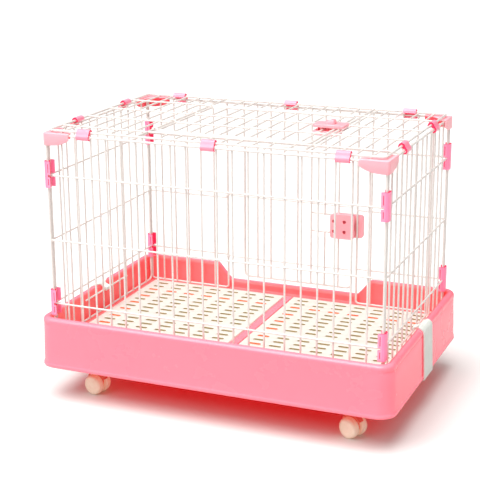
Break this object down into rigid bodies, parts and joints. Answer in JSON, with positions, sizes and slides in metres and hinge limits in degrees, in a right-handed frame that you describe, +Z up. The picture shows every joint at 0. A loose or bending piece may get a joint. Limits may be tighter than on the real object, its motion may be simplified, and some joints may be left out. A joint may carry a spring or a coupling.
{
  "type": "wire rabbit cage",
  "caption": "Wire rabbit cage on a wheeled pink plastic tub, with a front door, a top hatch, slotted floor mats, clipped wire panels and end straps.",
  "frame": {"origin": "on the ground, under the middle of the cage", "axes": "+X along the long side, +Y towards the side with the door, +Z up"},
  "size_m": [0.6874, 0.4554, 0.5245],
  "materials": {
    "pink_tub": "injection-moulded polypropylene, satin gloss, rose pink",
    "ivory_mat": "moulded ivory plastic, fine matt grain",
    "coated_wire": "ivory powder coat on welded steel wire",
    "pink_latch": "moulded plastic, satin, salmon pink",
    "pink_clip": "extruded plastic, satin, pale lilac pink",
    "hot_pink_clip": "extruded plastic, satin, strong pink",
    "pink_cover": "moulded plastic, satin, light pink",
    "strap": "moulded flexible plastic, pale grey white",
    "ivory_wheel": "moulded nylon, ivory",
    "caster_fork": "moulded nylon, pinkish cream",
    "steel_screw": "small zinc-plated self-tapping screw"
  },
  "bodies": {
    "tub": {"tub": "pink_tub"},
    "mat_left": {"mat_left": "ivory_mat"},
    "mat_right": {"mat_right": "ivory_mat"},
    "wire_cage": {"back_panel": "coated_wire", "left_panel": "coated_wire", "right_panel": "coated_wire", "front_panel": "coated_wire", "top_panel": "coated_wire", "corner_cover_front_left": "pink_cover", "corner_cover_front_right": "pink_cover", "corner_cover_back_left": "pink_cover", "corner_cover_back_right": "pink_cover", "top_clip_front_1": "pink_clip", "top_clip_front_2": "pink_clip", "top_clip_front_3": "pink_clip", "top_clip_back_1": "pink_clip", "top_clip_back_2": "pink_clip", "top_clip_back_3": "pink_clip", "top_clip_left_1": "pink_clip", "top_clip_left_2": "pink_clip", "top_clip_right_1": "pink_clip", "top_clip_right_2": "pink_clip", "corner_clip_front_left_upper": "hot_pink_clip", "corner_clip_front_left_lower": "hot_pink_clip", "corner_clip_front_right_upper": "hot_pink_clip", "corner_clip_front_right_lower": "hot_pink_clip", "corner_clip_back_left_upper": "hot_pink_clip", "corner_clip_back_left_lower": "hot_pink_clip", "corner_clip_back_right_upper": "hot_pink_clip", "corner_clip_back_right_lower": "hot_pink_clip"},
    "front_door": {"front_door": "coated_wire", "latch_inner_plate": "pink_latch", "latch_outer_cover": "pink_latch", "latch_screw_1": "steel_screw", "latch_screw_2": "steel_screw", "latch_screw_3": "steel_screw", "latch_screw_4": "steel_screw"},
    "door_bolt": {"door_bolt": "pink_latch"},
    "top_hatch": {"top_hatch": "coated_wire", "hatch_latch_base": "pink_latch", "hatch_latch_cover": "pink_latch", "hatch_screw_1": "steel_screw", "hatch_screw_2": "steel_screw"},
    "hatch_bolt": {"hatch_bolt": "pink_latch"},
    "strap_left": {"strap_left": "strap"},
    "strap_right": {"strap_right": "strap"},
    "caster_front_left": {"caster_fork_front_left": "caster_fork"},
    "wheel_front_left": {"caster_wheel_front_left": "ivory_wheel"},
    "caster_front_right": {"caster_fork_front_right": "caster_fork"},
    "wheel_front_right": {"caster_wheel_front_right": "ivory_wheel"},
    "caster_back_left": {"caster_fork_back_left": "caster_fork"},
    "wheel_back_left": {"caster_wheel_back_left": "ivory_wheel"},
    "caster_back_right": {"caster_fork_back_right": "caster_fork"},
    "wheel_back_right": {"caster_wheel_back_right": "ivory_wheel"}
  },
  "joints": [
    {"name": "cage_lift_off", "type": "slide", "parent": "tub", "child": "wire_cage", "axis": [0, 0, 1], "range_m": [0, 0.12]},
    {"name": "mat_left_lift_out", "type": "slide", "parent": "tub", "child": "mat_left", "axis": [0, 0, 1], "range_m": [0, 0.08]},
    {"name": "mat_right_lift_out", "type": "slide", "parent": "tub", "child": "mat_right", "axis": [0, 0, 1], "range_m": [0, 0.08]},
    {"name": "door_swing", "type": "hinge", "parent": "wire_cage", "child": "front_door", "pos_m": [-0.1386, 0.2015, 0.2712], "axis": [0, 0, 1], "range_deg": [0, 120]},
    {"name": "door_bolt_slide", "type": "slide", "parent": "front_door", "child": "door_bolt", "axis": [1, 0, 0], "range_m": [0, 0.012]},
    {"name": "hatch_swing", "type": "hinge", "parent": "wire_cage", "child": "top_hatch", "pos_m": [-0.1386, 0, 0.509], "axis": [0, -1, 0], "range_deg": [0, 150]},
    {"name": "hatch_bolt_slide", "type": "slide", "parent": "top_hatch", "child": "hatch_bolt", "axis": [1, 0, 0], "range_m": [0, 0.0115]},
    {"name": "strap_left_swing", "type": "hinge", "parent": "wire_cage", "child": "strap_left", "pos_m": [-0.315, 0, 0.152], "axis": [0, 1, 0], "range_deg": [0, 40]},
    {"name": "strap_right_swing", "type": "hinge", "parent": "wire_cage", "child": "strap_right", "pos_m": [0.315, 0, 0.152], "axis": [0, -1, 0], "range_deg": [0, 40]},
    {"name": "caster_swivel_front_left", "type": "hinge", "parent": "tub", "child": "caster_front_left", "pos_m": [-0.243, 0.16, 0.066], "axis": [0, 0, 1], "continuous": true},
    {"name": "wheel_spin_front_left", "type": "hinge", "parent": "caster_front_left", "child": "wheel_front_left", "pos_m": [-0.255, 0.16, 0.019], "axis": [0, 1, 0], "continuous": true},
    {"name": "caster_swivel_front_right", "type": "hinge", "parent": "tub", "child": "caster_front_right", "pos_m": [0.243, 0.16, 0.066], "axis": [0, 0, 1], "continuous": true},
    {"name": "wheel_spin_front_right", "type": "hinge", "parent": "caster_front_right", "child": "wheel_front_right", "pos_m": [0.255, 0.16, 0.019], "axis": [0, 1, 0], "continuous": true},
    {"name": "caster_swivel_back_left", "type": "hinge", "parent": "tub", "child": "caster_back_left", "pos_m": [-0.243, -0.16, 0.066], "axis": [0, 0, 1], "continuous": true},
    {"name": "wheel_spin_back_left", "type": "hinge", "parent": "caster_back_left", "child": "wheel_back_left", "pos_m": [-0.25482, -0.15792, 0.019], "axis": [0.1736, 0.9848, 0], "continuous": true},
    {"name": "caster_swivel_back_right", "type": "hinge", "parent": "tub", "child": "caster_back_right", "pos_m": [0.243, -0.16, 0.066], "axis": [0, 0, 1], "continuous": true},
    {"name": "wheel_spin_back_right", "type": "hinge", "parent": "caster_back_right", "child": "wheel_back_right", "pos_m": [0.25413, -0.1645, 0.019], "axis": [0.3746, 0.9272, 0], "continuous": true}
  ]
}
